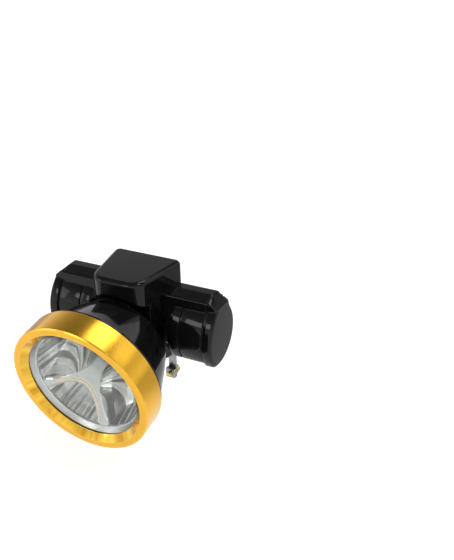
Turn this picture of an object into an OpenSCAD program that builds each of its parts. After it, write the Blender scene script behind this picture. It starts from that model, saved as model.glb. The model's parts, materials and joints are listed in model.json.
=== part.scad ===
// Cordless miner's cap lamp: a tilting lamp head held in a yoke housing, with a
// battery barrel on each side and a steel hook blade for the helmet's bracket.
// Frame: +X to the right seen from the front, -Y forward, +Z up.
// The origin is the middle of the hook blade's flat seat.

/* [Bezel] */
// Outer diameter of the bezel ring
bezel_d = 80; // [76:0.5:86]
// Length of the bezel ring along the lamp axis
bezel_len = 15.6; // [14:0.2:17]
// Width of the flat front face of the bezel
bezel_face_w = 4; // [3.4:0.1:4.6]
// Width of the polished bevel inside the front face
bevel_w = 3.6; // [3:0.1:4]
// Depth of the polished bevel inside the front face
bevel_depth = 3; // [2.4:0.1:3.4]
// Thickness of the lip's edge that holds the lens
lip_edge = 0.4; // [0.3:0.1:1]
// Chamfer on the outer edges of the bezel
bezel_chamfer = 0.7; // [0.3:0.1:1.2]
// Wall of the bezel skirt round the shell
skirt_wall = 2; // [1.6:0.1:2.4]

/* [Optics] */
// Thickness of the front lens
lens_t = 1.6; // [1.4:0.1:2]
// Thickness of the lens gasket
gasket_t = 0.4; // [0.3:0.1:0.8]
// Width of the reflector's outer flange
flange_w = 2.8; // [2:0.1:3.2]
// Width of the sloping rim of the reflector
rim_w = 3; // [2:0.1:4]
// Depth of the sloping rim of the reflector
rim_depth = 2.6; // [2:0.1:3]
// Depth of the reflector from its flange to its floor
reflector_depth = 20; // [18:0.5:21]
// Radius of the bowl at the reflector's floor
bowl_floor_r = 24; // [23:0.1:24.4]
// Distance of each cup's scoop axis from the lamp axis
scoop_offset = 26; // [24:0.2:28]
// Distance between the lamp axis and the nearest edge of a scoop
scoop_core = 5; // [4:0.1:6]
// Radius of a scoop at the reflector's floor
scoop_floor_r = 13; // [11:0.2:14]
// Depth of the dish in the middle of the star web
web_dish = 4.4; // [2:0.1:6]
// Turn of the first cup about the lamp axis
cup_turn = 116; // [0:1:119]
// Distance of each emitter from the lamp axis
emitter_ring = 18.6; // [18:0.1:19.4]
// Side of the square emitter body
emitter_w = 3.5; // [3:0.1:4]
// Height of the emitter body under its dome
emitter_h = 0.9; // [0.6:0.1:1.2]
// Thickness of the emitter board
board_t = 1.6; // [1.2:0.1:2]
// Thickness of the heat spreader plate
spreader_t = 2.4; // [2:0.1:3]

/* [Head shell] */
// Wall of the moulded head shell
shell_wall = 2.2; // [1.8:0.1:2.6]
// Height of the rim that the bezel closes against
shell_rim = 1.2; // [0.8:0.1:2]
// Distance from the bezel front to the shell's rear face
shell_len = 42.7; // [41.9:0.1:43.1]
// Radius of the shell at its rear face
shell_rear_r = 20; // [17:0.5:20.5]
// Tilt of the lamp head below the housing
rest_tilt = 9.2; // [8:0.1:12]
// Distance from the bezel front to the tilt axle
head_reach = 62.7; // [62.2:0.1:64.5]

/* [Tilt hinge] */
// Diameter of the tilt axle
axle_d = 5; // [4:0.1:6]
// Running clearance on the radius of the tilt axle
axle_fit = 0.05; // [0.02:0.01:0.09]
// Radius of the knuckle round the axle
knuckle_r = 10.6; // [9:0.1:11]
// Clearance between the neck and each cheek
neck_gap = 0.6; // [0.5:0.1:1.5]
// Thickness of each friction washer
washer_t = 1; // [0.6:0.1:1.4]
// Radius of each friction washer
washer_r = 6.5; // [5:0.1:8]
// Gap on each side of a friction washer
washer_gap = 0.1; // [0.05:0.01:0.15]
// Radius of the axle's head
axle_head_r = 4; // [3.6:0.1:4.4]

/* [Housing block] */
// Width of the middle block at the back
block_w = 42; // [40:0.5:44]
// Amount by which each side of the block draws in towards the front
front_draw = 4.5; // [3.5:0.1:4.7]
// Depth of the middle block from front to back
block_depth = 37.9; // [37:0.1:39]
// Height of the block's top above the tilt axle
block_top = 35.1; // [34:0.1:37]
// Reach of the block's cheeks below the tilt axle
block_drop = 20; // [19:0.5:22]
// Radius of the block's upright front corners
front_corner_r = 9.5; // [6:0.5:10]
// Radius of the block's upright back corners
back_corner_r = 3.5; // [3:0.5:5]
// Radius of the cheeks' lower front corners
cheek_r = 14; // [10:0.5:15]
// Distance of the cheeks' front edge behind the block's front
cheek_back = 8.5; // [8:0.1:10]
// Rounding of the block's top edge
top_round = 2.6; // [1:0.1:3]
// Thickness of a cheek beside the bay at the block's back
cheek_t = 6.4; // [6:0.1:6.5]
// Height of the bay above the tilt axle
bay_top = 17.5; // [17:0.1:18]
// Radius of the visor's arch
arch_r = 26.6; // [26:0.1:27.4]
// Height of the visor's arch above the tilt axle
arch_top = 22.2; // [22:0.1:23]
// Width of the sloping edge under the visor's front
arch_bevel = 2.2; // [1:0.1:2.6]
// Distance of the tilt axle in front of the block's back
axle_back = 14.4; // [14.2:0.1:15]
// Wall between the electronics pocket and the outside
pocket_wall = 2.4; // [2:0.1:3]
// Depth of the electronics pocket from the rear cover
pocket_depth = 25; // [23:0.5:27]
// Thickness of the rear cover
cover_t = 2.4; // [2:0.1:2.6]
// Clearance round the rear cover
cover_fit = 0.15; // [0.1:0.05:0.25]
// Diameter of the housing screws
screw_d = 2; // [1.6:0.1:2.2]

/* [Battery barrels] */
// Length of a barrel along its lower edge
barrel_len = 24.5; // [24.5:0.5:28]
// Length of an end cap
cap_len = 6.6; // [6.2:0.1:8]
// Radius of the barrel's front
barrel_front_r = 22.5; // [21:0.1:24]
// Distance of the barrel's front before the block's back
barrel_front = 28.3; // [27.5:0.1:29]
// Radius of the barrel's back and underside
barrel_r = 17.2; // [16.8:0.1:18]
// Distance of the barrel's middle before the block's back
barrel_back = 17.9; // [17.8:0.1:19]
// Height of the barrel's middle above the tilt axle
barrel_z = 3.5; // [2:0.1:5]
// Height of the barrel's roof above the tilt axle
roof_top = 25; // [24:0.1:27]
// Distance of the roof's front edge before the block's back
roof_front = 20.9; // [20:0.1:22]
// Depth of the roof's sloping front strip
roof_slope_w = 7.5; // [6:0.1:8]
// Depth of the roof's flat strip
roof_flat_w = 6; // [5:0.1:7]
// Drop of the roof's sloping strip
roof_drop = 2; // [1:0.1:3]
// Wall of the barrels and caps
barrel_wall = 2; // [1.6:0.1:2.2]
// Step by which the end cap stands proud
cap_step = 1; // [0.4:0.1:1.2]
// Width of the grooves round a barrel
groove_w = 0.9; // [0.6:0.1:1.2]
// Depth of the grooves round a barrel
groove_depth = 0.9; // [0.5:0.1:1]
// Length of the inner collar of a barrel
collar_len = 10.6; // [9:0.1:12]
// Length of the collar's slope down to the block
taper_len = 5; // [4:0.1:6]
// Slope of the collar, as height over length
collar_taper = 0.7; // [0.4:0.05:0.9]
// Rounding of the end cap's outer edge
cap_round = 1.6; // [1:0.1:2]
// Slope taken off the end cap's roof corner
cap_slope = 5.5; // [4:0.1:6]

/* [Cells and contacts] */
// Diameter of a cell
cell_d = 18; // [14:0.5:20]
// Length of a cell without its button
cell_len = 20.5; // [19:0.5:21]
// Height of a cell's button
cell_button = 0.8; // [0.6:0.1:1]
// Thickness of the contact plates
contact_t = 0.5; // [0.3:0.1:0.6]

/* [Power button] */
// Diameter of the rubber power button
button_d = 10; // [8:0.2:11]
// Height of the button above the end cap
button_proud = 1.6; // [1.4:0.1:2.4]
// Travel of the power button
button_travel = 1; // [0.6:0.1:1.2]
// Running clearance on the radius of the button
button_fit = 0.1; // [0.05:0.01:0.15]

/* [Charging contacts] */
// Diameter of a charging contact
contact_d = 3; // [2.4:0.1:3.4]
// Distance between the charging contacts
contact_pitch = 6; // [5.4:0.1:6.4]
// Side of the rubber flap
flap_w = 12; // [11:0.5:13]
// Thickness of the rubber flap
flap_t = 1.8; // [1.4:0.1:2]
// Diameter of the flap's hinge pin
flap_pin_d = 1.2; // [1:0.1:1.4]

/* [Hook blade] */
// Width of the hook blade
blade_w = 27; // [27:0.5:30]
// Thickness of the hook blade
blade_t = 1.5; // [1.2:0.1:1.8]
// Gap for the helmet's lamp bracket
hook_gap = 5; // [4.8:0.1:6]
// Height of the blade's bend above the tilt axle
blade_top = 20; // [18:0.5:21]
// Reach of the blade below the tilt axle
blade_drop = 24; // [22:0.5:28]
// Width of the clamp tongue
tongue_w = 5; // [4.4:0.1:6]
// Reach of the clamp tongue below the tilt axle
tongue_drop = 46; // [42:0.5:48]
// Distance of the tongue's edge inside the blade's edge
tongue_side = 0.2; // [0:0.1:4]
// Diameter of the clamp screw's shank
clamp_d = 3; // [2.4:0.1:3.4]

/* [Hidden] */
$fn = 72;
e = 0.01;                // overshoot of cuts
seam = 0.05;             // space between fixed pieces that meet face to face
gap = 0.3;               // space between pieces of different bodies

// Frame
back_half = block_w / 2;
bay_half = back_half - cheek_t;
block_back = -(2 * blade_t + hook_gap);
block_front = block_back - block_depth;
axle_y = block_back - axle_back;
cover_face = block_back - cover_t;

// Lamp head, measured from the bezel front along the lamp axis
bezel_r = bezel_d / 2;
open_r = bezel_r - bezel_face_w - bevel_w;
lip_t = bevel_depth + lip_edge;
skirt_r = bezel_r - skirt_wall;
spigot_wall = 2;
lens_r = skirt_r - seam - spigot_wall - 0.2;
lens_z = lip_t + seam;
gasket_z = lens_z + lens_t;
flange_z = gasket_z + gasket_t;
flange_t = 1.2;
rim_r = lens_r - flange_w;
bowl_r = rim_r - rim_w;
bowl_z = flange_z + rim_depth;
floor_z = flange_z + reflector_depth;
board_z = floor_z + emitter_h + seam;
spreader_z = board_z + board_t;
shoulder_z = spreader_z + spreader_t;
board_r = bowl_floor_r + 0.5;
shelf_r = lens_r - 1.8;
bell_z = bezel_len + seam;
bell_r = bezel_r - 0.8;
emitter_hole_r = emitter_w * 0.9;
led_dome_r = emitter_w * 0.42;

// Hinge
bore_r = axle_d / 2 + axle_fit;
knuckle_half = bay_half - washer_t - 2 * washer_gap;
neck_r = bay_half - neck_gap;
axle_head_t = 1.4;
clip_t = 1;
wire_up = 6.8;
wire_r = 2;
neck_in = 14;            // distance of the round neck's end before the axle
neck_screw_head = 1.3;
neck_screw_grip = 7;

// Block
front_half = back_half - front_draw;
corner_dx = back_half - back_corner_r - front_half + front_corner_r;
corner_dy = block_depth - back_corner_r - front_corner_r;
side_turn = atan2(corner_dy, corner_dx)
    - acos((front_corner_r - back_corner_r) / norm([corner_dx, corner_dy]));
cover_half = back_half - pocket_wall;
cover_top = block_top - pocket_wall;
cover_drop = block_drop - pocket_wall;
pocket_floor = bay_top + pocket_wall;
pocket_half = bay_half - 0.4;
screw_x = (bay_half + cover_half) / 2 - 0.1;
screw_inset = 5;
screw_high = cover_top - screw_inset;
screw_low = -cover_drop + screw_inset;
screw_len = 8;           // reach of the cover screws into the block
recess_x = bay_half + 1.6;
wire_front = 8;          // distance of the block's wire passage before the axle
wire_hole_r = 3;
cheek_screw_y = block_front + cheek_back + 5.2;
cheek_screw_z = -8.4;
cheek_screw_x = back_half - back_corner_r + (back_corner_r + sin(side_turn)
    * (block_back - back_corner_r - cheek_screw_y)) / cos(side_turn);

// Barrels
taper_x = back_half + taper_len;
seam_x = back_half + barrel_len;
cap_x = seam_x + cap_len;
barrel_y = block_back - barrel_back;
cell_y = barrel_y + 3.8;
cell_r = cell_d / 2;
inner_x = back_half + barrel_wall + seam;
cell_x = inner_x + contact_t + seam;
leaf_x = cell_x + cell_len + cell_button + seam;
plate_in = cap_x - barrel_wall - 0.6;
pad_x = -(back_half + barrel_len * 0.5);
pad_z = barrel_z - barrel_r - 1.6;
pad_back = barrel_y + flap_w / 2;
hinge_y = pad_back + flap_t / 2 + 0.5;
hinge_z = pad_z - flap_t / 2 - seam;
flap_pin_r = flap_pin_d / 2;
flap_knuckle_r = flap_t / 2;
leaf_half = 2;           // half width of a contact leaf
leaf_drop = 3;           // reach of a leaf's foot below the button
pcb_t = 1.6;
pcb_inset = 1;

// Hook
bend_r = hook_gap / 2;
tongue_x = (blade_w - tongue_w) / 2 - tongue_side;
clamp_z = -tongue_drop + 4;
hook_screw_z = [5, 14];

// ---- helpers ----

// Places a piece drawn from the bezel front with +Z into the lamp
module at_head() {
    translate([0, axle_y, 0]) rotate([rest_tilt, 0, 0])
        translate([0, -head_reach, 0]) rotate([-90, 0, 0]) children();
}

// Repeats a piece at the three cups
module at_cups(distance) {
    for (i = [0:2]) rotate([0, 0, -cup_turn - 120 * i]) translate([distance, 0, 0]) children();
}

// A cylinder along X that starts at x
module rod_x(r, x, length, y = 0, z = 0) {
    translate([x, y, z]) rotate([0, 90, 0]) cylinder(r = r, h = length);
}

// A cylinder along Y that starts at y
module rod_y(r, y, length, x = 0, z = 0) {
    translate([x, y, z]) rotate([-90, 0, 0]) cylinder(r = r, h = length);
}

// A flat profile in Y and Z, drawn out along X from x
module slab_x(x, length) {
    translate([x, 0, 0]) rotate([90, 0, 90]) linear_extrude(length) children();
}

module flip_x(flip) {
    if (flip) mirror([1, 0, 0]) children();
    else children();
}

// A box between two corners
module span(low, high) {
    translate(low) cube(high - low);
}

// A point on a cubic curve through four control points
function curve(p, t) = pow(1 - t, 3) * p[0] + 3 * pow(1 - t, 2) * t * p[1]
    + 3 * (1 - t) * t * t * p[2] + pow(t, 3) * p[3];

// ---- lamp head ----

// Outline of the bell from the bezel to the rear face, as radius and depth
bell_line = [[bell_r, bell_z + shell_rim], [bell_r - 1.3, bell_z + 8],
    [shell_rear_r + 11.6, shell_len - 8.6], [shell_rear_r, shell_len]];
bell_steps = 14;
bell_points = [for (i = [0:bell_steps]) curve(bell_line, i / bell_steps)];
bell_inner = [for (p = bell_points) if (p[1] > shoulder_z + 1 && p[1] < shell_len - shell_wall)
    [p[0] - shell_wall, p[1]]];

module bezel_ring() {
    color("goldenrod") at_head() rotate_extrude($fn = 144) polygon([
        [open_r, bevel_depth], [open_r + bevel_w, 0], [bezel_r - bezel_chamfer, 0],
        [bezel_r, bezel_chamfer], [bezel_r, bezel_len - bezel_chamfer],
        [bezel_r - bezel_chamfer, bezel_len], [skirt_r, bezel_len],
        [skirt_r, lip_t], [open_r, lip_t]]);
}

module front_lens() {
    color("white", 0.3) at_head() translate([0, 0, lens_z]) cylinder(r = lens_r, h = lens_t, $fn = 144);
}

module lens_gasket() {
    color("dimgray") at_head() translate([0, 0, gasket_z]) difference() {
        cylinder(r = lens_r, h = gasket_t - seam, $fn = 144);
        translate([0, 0, -e]) cylinder(r = rim_r + 0.4, h = gasket_t + 2 * e, $fn = 144);
    }
}

module reflector() {
    web_z = bowl_z + web_dish;
    scoop_r = scoop_offset - scoop_core;
    color("lightgray") at_head() difference() {
        union() {
            // the bowl with its flange and sloping rim
            rotate_extrude($fn = 96) polygon([[rim_r, flange_z], [lens_r, flange_z],
                [lens_r, flange_z + flange_t], [shelf_r - 0.3, flange_z + flange_t],
                [shelf_r - 0.8, bowl_z + 8], [bowl_floor_r + 3.2, floor_z - 4],
                [bowl_floor_r + 0.5, floor_z], [0, floor_z], [0, floor_z - 1.4],
                [bowl_floor_r - 1, floor_z - 1.4], [bowl_floor_r + 1.8, floor_z - 5],
                [bowl_r - 1.2, bowl_z + 7], [bowl_r, bowl_z]]);
            // the dished star web left between three scoops
            difference() {
                rotate_extrude($fn = 96) polygon([[0, web_z], [bowl_r * 0.3, web_z - web_dish * 0.06],
                    [bowl_r * 0.6, web_z - web_dish * 0.3], [bowl_r + 0.3, bowl_z - 0.1],
                    [bowl_r - 0.7, bowl_z + 7], [bowl_floor_r + 2.4, floor_z - 5],
                    [bowl_floor_r - 0.5, floor_z - 1], [0, floor_z - 1]]);
                at_cups(scoop_offset) rotate_extrude() polygon([[0, flange_z - 1],
                    [scoop_r + 1, flange_z - 1], [scoop_r, web_z], [scoop_r - 2.2, web_z + 5],
                    [scoop_floor_r + 1, floor_z - 3.4], [scoop_floor_r, floor_z + 1], [0, floor_z + 1]]);
            }
        }
        at_cups(emitter_ring) translate([0, 0, floor_z - 3]) cylinder(r = emitter_hole_r, h = 4);
    }
}

module led_emitters() {
    color("khaki") at_head() at_cups(emitter_ring) {
        translate([-emitter_w / 2, -emitter_w / 2, board_z - emitter_h])
            cube([emitter_w, emitter_w, emitter_h - seam]);
        translate([0, 0, board_z - emitter_h]) intersection() {
            sphere(r = led_dome_r, $fn = 32);
            translate([0, 0, -led_dome_r]) cylinder(r = led_dome_r, h = led_dome_r + 0.1);
        }
    }
}

module emitter_board() {
    color("whitesmoke") at_head() translate([0, 0, board_z]) difference() {
        cylinder(r = board_r, h = board_t - seam);
        at_spreader_screws() cylinder(r = screw_d / 2 + 0.2, h = 2 * board_t);
        translate([0, 0, -e]) cylinder(r = 2, h = 2 * board_t);
    }
}

// Screws that hold the emitter board and heat spreader, between the cups
module at_spreader_screws() {
    for (i = [0:2]) rotate([0, 0, 60 - cup_turn - 120 * i])
        translate([board_r - 2.6, 0, -e]) children();
}

module heat_spreader() {
    color("silver") at_head() translate([0, 0, spreader_z]) difference() {
        cylinder(r = board_r, h = spreader_t - seam);
        at_spreader_screws() cylinder(r = screw_d / 2 + 0.2, h = 2 * spreader_t);
        translate([0, 0, -e]) cylinder(r = 2, h = 2 * spreader_t);
    }
}

module spreader_screws() {
    head_h = emitter_h - seam;
    color("silver") at_head() translate([0, 0, board_z - head_h]) at_spreader_screws() {
        cylinder(r = screw_d, h = head_h);
        cylinder(r = screw_d / 2, h = head_h + board_t + spreader_t + 0.8 * screw_d);
    }
}

module head_shell() {
    rear_in = shell_len - shell_wall;
    color("black") at_head() difference() {
        rotate_extrude($fn = 144) polygon(concat(
            [[0, shell_len], [0, lip_t + 1], [skirt_r - seam, lip_t + 1], [skirt_r - seam, bell_z],
                [bell_r, bell_z]], bell_points));
        // stepped seats for lens and reflector, then the hollow of the bell
        rotate_extrude($fn = 144) polygon(concat(
            [[0, 0], [lens_r + 0.2, 0], [lens_r + 0.2, flange_z + flange_t + seam],
                [shelf_r, flange_z + flange_t + seam], [shelf_r, bell_z + 1],
                [board_r + 0.2, floor_z], [board_r + 0.2, shoulder_z],
                [board_r - 5.5, shoulder_z]],
            [[min(board_r - 5.5, bell_inner[0][0]), bell_inner[0][1]]], bell_inner,
            [[shell_rear_r - shell_wall, rear_in], [0, rear_in]]));
        translate([0, -wire_up, rear_in - e]) cylinder(r = wire_r, h = 2 * shell_wall);
        translate([0, 0, shoulder_z - e]) at_spreader_screws() cylinder(r = screw_d / 2 + 0.02, h = 2.2);
        for (s = [-1, 1]) translate([s * neck_r * 0.6, 0, rear_in - e])
            cylinder(r = screw_d / 2 + 0.1, h = 2 * shell_wall);
    }
}

module tilt_knuckle() {
    neck_end = head_reach - neck_in;
    color("black") at_head() difference() {
        union() {
            translate([0, 0, shell_len + seam]) cylinder(r = neck_r, h = neck_end - shell_len);
            // shoulders that carry on the line of the bell between the cheeks
            intersection() {
                translate([0, 0, shell_len + seam]) cylinder(r1 = shell_rear_r - 0.4, r2 = neck_r, h = 10);
                span([-knuckle_half, -shell_rear_r, shell_len], [knuckle_half, shell_rear_r, head_reach]);
            }
            span([-knuckle_half, -knuckle_r, shell_len + 3], [knuckle_half, knuckle_r, head_reach]);
            rod_x(knuckle_r, -knuckle_half, 2 * knuckle_half, 0, head_reach);
        }
        rod_x(bore_r, -neck_r - 2, 2 * neck_r + 4, 0, head_reach);
        // wire passage above the axle, from the shell into the housing
        translate([0, -wire_up, shell_len]) cylinder(r = wire_r, h = head_reach);
        for (s = [-1, 1]) translate([s * neck_r * 0.6, 0, shell_len - e])
            cylinder(r = screw_d / 2 + 0.02, h = neck_screw_grip);
    }
}

module knuckle_screws() {
    color("silver") at_head() for (s = [-1, 1])
        translate([s * neck_r * 0.6, 0, shell_len - shell_wall - neck_screw_head]) {
            cylinder(r = screw_d * 0.9, h = neck_screw_head - seam);
            cylinder(r = screw_d / 2, h = neck_screw_head + shell_wall + neck_screw_grip - 1);
        }
}

// ---- housing ----

// Plan corners of the block: centre and radius of each upright edge
block_corners = [for (s = [-1, 1]) each [
    [s * (back_half - back_corner_r), block_back - back_corner_r, back_corner_r],
    [s * (front_half - front_corner_r), block_front + front_corner_r, front_corner_r]]];
round_steps = 4;

module block_form() {
    hull() for (c = block_corners, i = [0:round_steps]) {
        a = 90 * i / round_steps;
        translate([c[0], c[1], -block_drop])
            cylinder(r = c[2] - top_round * (1 - cos(a)),
                h = block_top + block_drop - top_round * (1 - sin(a)), $fn = 32);
    }
}

// Side view of the block: the visor in front, the cheeks with round corners behind
module block_side() {
    cheek_front = block_front + cheek_back;
    translate([block_front - 1, arch_top - 7]) square([block_depth + 2, block_top]);
    translate([cheek_front, -block_drop + cheek_r]) square([block_depth, block_drop + block_top - cheek_r]);
    translate([cheek_front + cheek_r, -block_drop - 1]) square([block_depth, block_top]);
    translate([cheek_front + cheek_r, -block_drop + cheek_r]) circle(r = cheek_r);
}

module main_housing() {
    color([0.08, 0.08, 0.09]) difference() {
        intersection() {
            block_form();
            slab_x(-block_w, 2 * block_w) block_side();
            span([-block_w, block_front - 1, -block_drop], [block_w, 0, block_top + 1]);
        }
        // arch of the visor and the bay between the cheeks
        rod_y(arch_r, block_front - 1, cheek_back + 1, 0, arch_top - arch_r);
        translate([0, block_front - e, arch_top - arch_r]) rotate([-90, 0, 0])
            cylinder(r1 = arch_r + arch_bevel, r2 = arch_r, h = arch_bevel);
        span([-bay_half, block_front - 1, -block_drop - 1], [bay_half, cover_face + e, bay_top]);
        // recess for the rear cover and the electronics pocket
        span([-cover_half - cover_fit, cover_face, -cover_drop - cover_fit],
            [cover_half + cover_fit, 1, cover_top + cover_fit]);
        span([-pocket_half, cover_face - pocket_depth, pocket_floor],
            [pocket_half, cover_face + e, cover_top]);
        rod_x(bore_r, -block_w, 2 * block_w, axle_y, 0);
        for (flip = [false, true]) flip_x(flip) {
            rod_x(axle_head_r + 0.4, recess_x, back_half, axle_y, 0);
            rod_x(screw_d / 2 + 0.02, bay_half + 0.6, back_half, cheek_screw_y, cheek_screw_z);
        }
        at_cover_screws() rod_y(screw_d / 2 + 0.02, -screw_len - 1, screw_len + 2);
        // wire passage between the bay and the electronics pocket
        translate([0, axle_y - wire_front, bay_top - 1]) cylinder(r = wire_hole_r, h = 2 * pocket_wall);
    }
}

module tilt_axle() {
    color("silver") {
        rod_x(axle_d / 2, -recess_x - clip_t - 0.4, 2 * recess_x + clip_t + 0.8, axle_y, 0);
        rod_x(axle_head_r, recess_x + seam, axle_head_t, axle_y, 0);
    }
}

module axle_clip() {
    color("gray") difference() {
        rod_x(axle_head_r - 0.2, -recess_x - seam - clip_t, clip_t, axle_y, 0);
        rod_x(axle_d / 2 + 0.02, -back_half, back_half, axle_y, 0);
    }
}

module cheek_screws() {
    color("silver") for (flip = [false, true]) flip_x(flip) difference() {
        rod_x(screw_d / 2, bay_half + 0.6 + seam, cheek_screw_x - bay_half - 0.5,
            cheek_screw_y, cheek_screw_z);
        span([cheek_screw_x - 0.2, cheek_screw_y - 0.2, cheek_screw_z - 2],
            [cheek_screw_x + 1, cheek_screw_y + 0.2, cheek_screw_z + 2]);
    }
}

module friction_washers() {
    color("sienna") for (flip = [false, true]) flip_x(flip) difference() {
        rod_x(washer_r, bay_half - washer_t - washer_gap, washer_t, axle_y, 0);
        rod_x(bore_r, 0, bay_half, axle_y, 0);
    }
}

// ---- battery barrels ----

// Section of a barrel, drawn in by inset
module barrel_section(inset) {
    intersection() {
        translate([block_back - barrel_front + barrel_front_r, barrel_z - 2.6])
            circle(r = barrel_front_r - inset, $fn = 96);
        translate([barrel_y, barrel_z]) circle(r = barrel_r - inset, $fn = 96);
    }
}

// Roof over a barrel: a sloping strip in front, a flat strip and a sloping back
module roof_section(inset) {
    front = block_back - roof_front + inset;
    crest = front + roof_slope_w;
    polygon([[front, barrel_z + 6], [front, roof_top - roof_drop - inset],
        [crest, roof_top - inset], [crest + roof_flat_w - 1.5 * inset, roof_top - inset],
        [barrel_y + barrel_r * 0.86 - inset, barrel_z + barrel_r * 0.5], [barrel_y, barrel_z + 6]]);
}

// Everything on the block's side of the plane that a barrel seats on
module beyond_side() {
    translate([back_half - back_corner_r, block_back - back_corner_r, -60]) rotate([0, 0, side_turn])
        translate([back_corner_r + seam - 60, -80, 0]) cube([60, 120, 120]);
}

module barrel(port) {
    difference() {
        union() {
            slab_x(taper_x, seam_x - taper_x) barrel_section(0);
            intersection() {
                slab_x(front_half - 2, taper_x - front_half + 2 + e) barrel_section(0);
                translate([taper_x - 9, block_back - barrel_front + barrel_front_r, barrel_z - 2.6])
                    rotate([0, 90, 0]) cylinder(r1 = barrel_front_r - 9 * collar_taper,
                        r2 = barrel_front_r, h = 9);
            }
            slab_x(front_half - 2, seam_x - front_half + 2) roof_section(0);
            if (port) flap_pad();
        }
        beyond_side();
        slab_x(inner_x - seam, barrel_len + 10) barrel_section(barrel_wall);
        // groove behind the collar, and the chamfer at the block
        groove_x = back_half + collar_len;
        difference() {
            slab_x(groove_x, groove_w) translate([-60, -40]) square([80, barrel_z + 40 + barrel_r]);
            slab_x(groove_x - 1, groove_w + 2) barrel_section(groove_depth);
            slab_x(groove_x - 1, groove_w + 2) roof_section(0);
        }
        if (port) for (s = [-1, 1])
            translate([-pad_x + s * contact_pitch / 2, barrel_y, pad_z - e])
                cylinder(r = contact_d / 2 + 0.02, h = barrel_wall + 3);
    }
}

// Flat pad with two hinge ears under the left barrel
module flap_pad() {
    translate([-pad_x - flap_w / 2, barrel_y - flap_w / 2, pad_z]) cube([flap_w, flap_w, 4]);
    for (s = [-1, 1]) difference() {
        translate([-pad_x + s * (flap_w / 2 - 1) - 1, pad_back - 1, hinge_z - flap_knuckle_r])
            cube([2, flap_t + 2, barrel_z - barrel_r * 0.6 - hinge_z]);
        rod_x(flap_pin_r + 0.02, 0, 100, hinge_y, hinge_z);
    }
}

module barrel_right() {
    color([0.08, 0.08, 0.09]) barrel(false);
}

module barrel_left() {
    color([0.08, 0.08, 0.09]) flip_x(true) barrel(true);
}

module end_cap(button) {
    difference() {
        intersection() {
            union() {
                slab_x(seam_x + groove_w, cap_len - groove_w - cap_round) barrel_section(-cap_step);
                slab_x(seam_x + seam, cap_len - cap_round - seam) roof_section(0);
                hull() {
                    slab_x(cap_x - cap_round - e, e) { barrel_section(-cap_step); roof_section(0); }
                    slab_x(cap_x - e, e) { barrel_section(cap_round - cap_step); roof_section(cap_round); }
                }
                slab_x(seam_x + seam, cap_len / 2) barrel_section(groove_depth);
                slab_x(seam_x - 3, cap_len / 2) barrel_section(barrel_wall + 0.1);
            }
            // the roof slopes down to the outer face
            translate([cap_x, 0, roof_top - cap_slope]) rotate([0, atan2(cap_slope, cap_len - 0.6), 0])
                translate([-60, -80, -80]) cube([120, 120, 80]);
        }
        slab_x(seam_x - 4, plate_in - seam_x + 4) barrel_section(barrel_wall + 1.2);
        if (button) rod_x(button_d / 2 + button_fit, plate_in - 1, 20, cell_y, barrel_z);
    }
}

module end_cap_right() {
    color([0.06, 0.06, 0.07]) end_cap(false);
}

module end_cap_left() {
    color([0.06, 0.06, 0.07]) flip_x(true) end_cap(true);
}

module cap_seals() {
    color([0.15, 0.15, 0.15]) for (flip = [false, true]) flip_x(flip)
        difference() {
            slab_x(seam_x + seam, groove_w - 2 * seam) barrel_section(groove_depth - 0.5);
            slab_x(seam_x - 1, 3) barrel_section(groove_depth - seam);
            slab_x(seam_x - 1, 3) roof_section(-seam);
        }
}

module cell() {
    rod_x(cell_r, cell_x, cell_len, cell_y, barrel_z);
    rod_x(cell_r * 0.4, cell_x + cell_len - e, cell_button + e, cell_y, barrel_z);
}

module cell_right() {
    color("steelblue") cell();
}

module cell_left() {
    color("steelblue") flip_x(true) cell();
}

module contact_plates() {
    color("silver") for (flip = [false, true]) flip_x(flip)
        rod_x(cell_r * 0.8, inner_x, contact_t, cell_y, barrel_z);
}

// Leaf contacts: an upright leaf on the cell and a foot that stands on the cap
module contact_leaves() {
    foot_z = barrel_z - button_d / 2 - leaf_drop;
    color("gold") for (flip = [false, true]) flip_x(flip) {
        span([leaf_x, cell_y - leaf_half, foot_z],
            [leaf_x + contact_t, cell_y + leaf_half, barrel_z + cell_r * 0.6]);
        span([leaf_x, cell_y - leaf_half, foot_z],
            [plate_in - seam, cell_y + leaf_half, foot_z + contact_t]);
    }
}

// ---- power button ----

button_flange_t = 0.8;
module power_button() {
    color("dimgray") flip_x(true) {
        rod_x(button_d / 2, plate_in - button_flange_t, cap_x - plate_in + button_flange_t
            + button_proud - 0.8, cell_y, barrel_z);
        rod_x(button_d / 2 - 0.8, cap_x, button_proud, cell_y, barrel_z);
        rod_x(button_d / 2 + 0.9, plate_in - button_flange_t - 0.1, button_flange_t, cell_y, barrel_z);
    }
}

module switch_module() {
    tip = plate_in - button_flange_t - 0.1 - button_travel - gap;
    color("gainsboro") flip_x(true)
        span([leaf_x + contact_t + seam, cell_y - 3, barrel_z - 3], [tip, cell_y + 3, barrel_z + 3]);
}

// ---- charging contacts ----

module charge_contacts() {
    color("gold") flip_x(true) for (s = [-1, 1])
        translate([-pad_x + s * contact_pitch / 2, barrel_y, pad_z]) {
            cylinder(r = contact_d / 2, h = barrel_wall + 2.6);
            translate([0, 0, barrel_wall + 2.6 - e]) cylinder(r = contact_d / 2 + 0.5, h = 0.6);
        }
}

module charge_flap() {
    inner = flap_w / 2 - 2 - gap;
    color("dimgray") flip_x(true) difference() {
        union() {
            span([-pad_x - flap_w / 2, barrel_y - flap_w / 2, pad_z - seam - flap_t],
                [-pad_x + flap_w / 2, pad_back - 1.4, pad_z - seam]);
            span([-pad_x - inner, pad_back - 1.5, pad_z - seam - flap_t],
                [-pad_x + inner, hinge_y, pad_z - seam]);
            rod_x(flap_knuckle_r, -pad_x - inner, 2 * inner, hinge_y, hinge_z);
        }
        rod_x(flap_pin_r + axle_fit, 0, 100, hinge_y, hinge_z);
    }
}

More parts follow.
